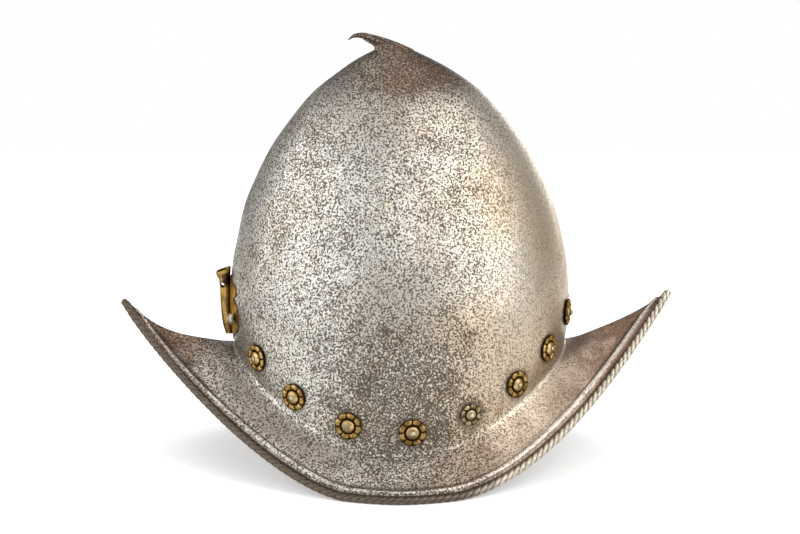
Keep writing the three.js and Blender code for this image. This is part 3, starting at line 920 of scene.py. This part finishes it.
def makeRosetteModel(name, rough):
    loops, hollows, rubs = [], [], []
    turns = [2 * math.pi * k / rosette["points"] for k in range(rosette["points"])]
    for r in rosette["radii"]:
        loop, tone = [], []
        for turn in turns:
            height, hollow, nearGap = rosetteHeight(r, turn)
            reach = r * (1 - rosette["scallop"] * nearGap * smoothStep(6.0, 8.5, r))
            place = Vector((reach * math.cos(turn), reach * math.sin(turn), 0))
            height += rough * noise.noise(place / 1.7) * smoothStep(3.0, 6.0, r)
            place.z = rosette["gap"] + height
            loop.append(place)
            tone.append(hollow)
        loops.append(loop)
        hollows.append(tone)
        rubs.append([smoothStep(4.2, 3.6, r)] * rosette["points"])
    for r, height in rosette["back"]:
        level = rosette["gap"] + height
        loops.append([Vector((r * math.cos(turn), r * math.sin(turn), level)) for turn in turns])
        hollows.append([1.0] * rosette["points"])
        rubs.append([0.0] * rosette["points"])
    model = ringPiece(name, loops, {"hollow": hollows, "rubbed": rubs})
    return closeAndSmooth(model, 50)


rivet = {
    "head": 3.4,
    "headHeight": 1.0,
    "headTurns": (0.3, 0.6, 0.9, 1.2, 1.45),  # radians down from its top
    "shank": 1.3,  # radius
    "tail": 0.75,  # gap between the wall and the hammered end
    "end": [(2.6, 0.0), (2.55, 0.4), (1.9, 0.9)],  # radius and depth of the hammered end
    "endDepth": 1.1,
    "points": 32,
}


def rivetModel(name, seat, head, headHeight):
    # round head over its seat, shank through the wall, hammered end inside
    shank, inside = rivet["shank"], -(skull["wall"] + rivet["tail"])
    profile = [(head / 2 * math.sin(t), seat + headHeight * math.cos(t)) for t in rivet["headTurns"]]
    tones = [0.0, 0.0, 0.0, 0.1, 0.5]
    profile += [(head / 2, seat), (head / 2 - 0.15, seat - 0.05), (shank, seat - 0.1), (shank, inside)]
    profile += [(radius, inside - depth) for radius, depth in rivet["end"]]
    tones += [1.0] * (len(profile) - len(tones))
    turns = [2 * math.pi * k / rivet["points"] for k in range(rivet["points"])]
    loops = [[Vector((r * math.cos(turn), r * math.sin(turn), z)) for turn in turns] for r, z in profile]
    top, bottom = Vector((0, 0, seat + headHeight)), Vector((0, 0, inside - rivet["endDepth"]))
    return closeAndSmooth(spherePiece(name, loops, top, bottom, {"hollow": tones}), 40)


def makeRosettes():
    plain = makeRosetteModel("rosette_model", rosette["plainGrain"])
    eaten = makeRosetteModel("eaten_rosette_model", rosette["eatenGrain"])
    heads = {}
    for size in (1.0, 0.8):
        seat = rosette["gap"] + rosette["height"] * size
        heads[size] = rivetModel("rivet_model_%d" % (size * 10), seat, rivet["head"], rivet["headHeight"])
    for number, (place, normal, size) in enumerate(rosetteSeats(), 1):
        seat = seatOn(place, normal)
        spin = Matrix.Rotation(math.radians(number * 17 % 12), 4, "Z")
        model, finish = (plain, brass) if size == 1.0 else (eaten, corroded)
        piece = copyTo(model, "rosette_%02d_detailed" % number, seat @ spin @ Matrix.Scale(size, 4))
        piece.data.materials.append(finish)
        paintPoints(piece, "age", [abs(noise.noise(place / 9.3))] * len(piece.data.vertices))
        stud = copyTo(heads[size], "rivet_%02d_detailed" % number, seat)
        stud.data.materials.append(iron)
        for obj, node, slotName in ((piece, "rosette_%02d", "brass"), (stud, "rivet_%02d", "iron")):
            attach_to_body(obj, "root")
            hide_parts(node % number)
    for model in (plain, eaten, *heads.values()):
        bpy.data.objects.remove(model)
    print("rosettes and rivets made:", len(rosetteSeats()))


makeRosettes()


# Plume holder: a bent plate with a tapered tube soldered to it

holder = {
    "bottom": 73.4,  # level of the leaf's point
    "top": 114.0,
    "width": 56.0,
    "thickness": 1.2,
    "standOff": 0.7,
    "mouth": 118.0,
    "foot": 77.5,
    "proud": 10.0,
    "tubeWidth": 9.8,
    "wall": 0.6,
    "lean": 0.35,
    "boreEnd": 0.45,
    "points": 40,
    "rivetSpan": 40.0,
    "rivetLevel": 91.0,
    "rivetHead": 7.8,
    "rivetHeight": 2.8,
    "pinLevel": 108.5,
    "pinOff": 5.2,  # distance of the pin's hole off the skull
    "pinHole": 1.2,
    "pinWear": 1.35,  # the hole is worn this much taller than wide
    # strength of the painted shade on the tube's neck
    "neckPaintedShade": 0.9,
    "plate": [  # height and half width of the plate, as shares
        (0.0, 0.05),
        (0.12, 0.42),
        (0.26, 0.86),
        (0.44, 1.0),
        (0.62, 0.92),
        (0.74, 0.66),
        (0.8, 0.8),
        (0.91, 0.76),
        (1.0, 0.34),
    ],
    "tube": [  # place down the tube, distance off the skull and width, as shares
        (0.0, 0.985, 1.0),
        (0.02, 1.0, 1.0),
        (0.035, 0.95, 0.97),
        (0.05, 0.98, 0.985),
        (0.065, 0.9, 0.93),
        (0.08, 0.92, 0.94),
        (0.1, 0.84, 0.89),
        (0.13, 0.79, 0.88),
        (0.27, 0.7, 0.86),
        (0.45, 0.66, 0.84),
        (0.65, 0.65, 0.78),
        (0.84, 0.61, 0.66),
        (1.0, 0.5, 0.5),
    ],
}


def makePlate():
    deselect()
    bpy.ops.mesh.primitive_grid_add(x_subdivisions=36, y_subdivisions=56, size=2)
    plate = bpy.context.object
    for vertex in plate.data.vertices:
        share, up = vertex.co.x, (vertex.co.y + 1) / 2
        half = curveThrough(holder["plate"], 1, up) * holder["width"] / 2
        level = mix(holder["bottom"], holder["top"], up)
        vertex.co = rearPoint(share * half, level, holder["standOff"]) * mm
    makeActive(plate)
    solid = plate.modifiers.new("Thickness", "SOLIDIFY")
    solid.thickness = holder["thickness"] * mm
    solid.offset = 1.0
    bpy.ops.object.modifier_apply(modifier=solid.name)
    return closeAndSmooth(plate, 40)


def tubeLoop(down, thinner, rise=0.0):
    proud, width = [curveThrough(holder["tube"], k, down) for k in (1, 2)]
    near = holder["standOff"] + thinner
    far = proud * holder["proud"] - thinner
    halfWidth = width * holder["tubeWidth"] / 2 - thinner
    level = mix(holder["mouth"], holder["foot"], down)
    centre = rearPoint(0, level, (near + far) / 2)
    loop = []
    for k in range(holder["points"]):
        turn = 2 * math.pi * k / holder["points"]
        away = (far - near) / 2 * signedPower(math.cos(turn), 0.85)
        drop = away * holder["lean"] * (1 - down)
        side = halfWidth * signedPower(math.sin(turn), 0.65)
        loop.append(Vector((centre.x - away, side, centre.z - drop + rise)))
    return loop


def middleOf(loop):
    return sum(loop, Vector()) / len(loop)


def solidFrom(name, loops):
    return closeAndSmooth(spherePiece(name, loops, middleOf(loops[0]), middleOf(loops[-1])), 40)


def cutOrJoin(obj, other, operation):
    makeActive(obj)
    joint = obj.modifiers.new("Joint", "BOOLEAN")
    joint.operation = operation
    joint.object = other
    joint.solver = "EXACT"
    bpy.ops.object.modifier_apply(modifier=joint.name)
    bpy.data.objects.remove(other)


# painted shade on the plume holder: darker in the bore, in the gap behind the plate and on the tube's neck,
# where shade falls
def holderPaintedShade(point, normal):  # dark in the bore, in the gap behind the plate and on the tube's neck
    angle, up = rearPlace(point.y, point.z)
    outward = skullNormal(angle, up)
    off = (point - skullPoint(angle, up)).dot(outward)
    behind = smoothStep(0.0, -0.5, normal.dot(outward)) * smoothStep(1.4, 1.0, off)
    if abs(point.y) > holder["tubeWidth"] * 0.52:
        return behind
    down = (holder["mouth"] - point.z) / (holder["mouth"] - holder["foot"])
    proud, width = [curveThrough(holder["tube"], k, max(0.0, down)) for k in (1, 2)]
    near, far = holder["standOff"], proud * holder["proud"]
    middle = rearPoint(0, point.z, (near + far) / 2)
    down += (point.x - middle.x) * holder["lean"] / (holder["mouth"] - holder["foot"])
    across = point.y / (width * holder["tubeWidth"] / 2)
    inward = (point.x - middle.x) / ((far - near) / 2)
    bore = smoothStep(0.985, 0.96, math.hypot(across, inward))
    bore *= smoothStep(0.0, 0.05, down) * smoothStep(0.5, 0.46, down)
    neck = smoothStep(0.03, 0.07, down) * smoothStep(0.27, 0.2, down)
    neck *= holder["neckPaintedShade"] * smoothStep(-0.6, -0.1, inward)
    return max(bore, neck, behind)


def makeHolder():
    plate = makePlate()
    rings = [0.0, 0.01, 0.02, 0.028, 0.035, 0.042, 0.05, 0.058, 0.065, 0.073, 0.08, 0.09, 0.1, 0.115, 0.13]
    downs = rings + [mix(rings[-1], 1.0, k / 24) for k in range(1, 25)]
    cutOrJoin(plate, solidFrom("tube", [tubeLoop(down, 0) for down in downs]), "UNION")
    bore = [tubeLoop(0, holder["wall"], holder["wall"] + 1)]
    bore += [tubeLoop(holder["boreEnd"] * k / 12, holder["wall"]) for k in range(13)]
    cutOrJoin(plate, solidFrom("bore", bore), "DIFFERENCE")

    # old holes through the tube's sides, where a pin once held the plume
    deselect()
    bpy.ops.mesh.primitive_cylinder_add(
        vertices=32,
        radius=holder["pinHole"] * mm,
        depth=14 * mm,
        location=rearPoint(0, holder["pinLevel"], holder["pinOff"]) * mm,
        rotation=(math.pi / 2, 0, 0),
        scale=(1, holder["pinWear"], 1),
    )
    cutOrJoin(plate, bpy.context.object, "DIFFERENCE")
    closeAndSmooth(plate, 40)
    plate.name = plate.data.name = "plume_holder_detailed"
    # painted shade, darkening the bore, the back of the plate and the tube's neck
    dirtAndShade = [holderPaintedShade(vertex.co / mm, vertex.normal) for vertex in plate.data.vertices]
    paintPoints(plate, "hollow", dirtAndShade)
    plate.data.materials.append(holderBrass)
    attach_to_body(plate, "root")
    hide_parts("plume_holder")

    seat = holder["standOff"] + holder["thickness"]
    model = rivetModel("plume_rivet_model", seat + 0.05, holder["rivetHead"], holder["rivetHeight"])
    for side, number in ((-1, 1), (1, 2)):
        angle, up = rearPlace(side * holder["rivetSpan"] / 2, holder["rivetLevel"])
        matrix = seatOn(skullPoint(angle, up), skullNormal(angle, up))
        stud = copyTo(model, "plume_rivet_%d_detailed" % number, matrix)
        stud.data.materials.append(iron)
        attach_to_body(stud, "root")
        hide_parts("plume_rivet_%d" % number)
    bpy.data.objects.remove(model)
    print("plume holder made:", len(plate.data.polygons), "faces")


makeHolder()


# Studio: pale floor, pale surroundings, soft panels

studio = {
    "floorSize": 2.4,
    "around": 0.42,
    "backdrop": 1.0,
    "target": (2.5, 0.0, 119.7),
    "distance": 1500.0,
    "elevation": 12.0,
    "focal": 2382.0,  # in pixels of a frame 800 wide
    "frameWidth": 800.0,
    "panels": [  # name, place, size and power
        ("left", (-1.39, -0.56, 0.75), (2.2, 1.3), 16.5),
        ("right", (1.3, -0.83, 1.0), (1.5, 1.8), 23.0),
        ("front", (0.05, -1.3, 1.05), (0.9, 0.6), 4.5),
        ("top", (0.0, 0.1, 1.9), (1.8, 1.4), 14.0),
        ("behind", (0.75, 1.5, 0.35), (1.1, 0.7), 6.0),
    ],
}


floorLook = {
    # a matt table in pale paint, lit a little by itself, so that its far edge is lost in the backdrop
    "noises": [("cloud", 400.0, 2.0, 0.5, 0.0, 1.0)],
    "paints": [],
    "steps": [("shade", "ramp", "cloud", 0.3, 0.7, 0.0, 1.0)],
    "base": "#f7f6f4",
    "layers": [("shade", "#efeeec")],
    "shader": {"Roughness": 0.9, "Emission Color": "#ffffff", "Emission Strength": 0.35},
}


def makeStudio():
    deselect()
    bpy.ops.mesh.primitive_plane_add(size=studio["floorSize"], location=(0, 0, 0))
    floor = bpy.context.object
    floor.name = "floor"
    floor.data.materials.append(makeSurface("pale_painted_table", floorLook))

    world = bpy.data.worlds.new("surroundings")
    bpy.context.scene.world = world
    world.use_nodes = True
    tree = world.node_tree
    tree.nodes.clear()
    ray = addNode(tree, "LightPath").outputs["Is Camera Ray"]
    strengths = {0: ray, 3: studio["around"], 4: studio["backdrop"]}
    strength = addNode(tree, "MapRange", strengths).outputs[0]
    sky = addNode(tree, "Background", {"Color": "#ffffff", "Strength": strength})
    addNode(tree, "OutputWorld", {"Surface": sky.outputs[0]})

    target = Vector(studio["target"]) * mm
    for name, place, size, power in studio["panels"]:
        deselect()
        bpy.ops.object.light_add(type="AREA", location=place)
        panel = bpy.context.object
        panel.name = "panel_" + name
        panel.data.shape = "RECTANGLE"
        panel.data.size, panel.data.size_y = size
        panel.data.energy = power
        panel.visible_camera = False
        panel.rotation_euler = (target - Vector(place)).to_track_quat("-Z", "Y").to_euler()

    tilt = math.radians(studio["elevation"])
    back = Vector((0, -math.cos(tilt), math.sin(tilt))) * studio["distance"] * mm
    deselect()
    bpy.ops.object.camera_add(location=target + back, rotation=(math.pi / 2 - tilt, 0, 0))
    camera = bpy.context.object
    camera.data.sensor_width = 36
    camera.data.lens = 36 * studio["focal"] / studio["frameWidth"]
    camera.data.clip_end = 50
    bpy.context.scene.camera = camera
    bpy.context.scene.view_settings.view_transform = "Standard"
    print("studio made")


makeStudio()
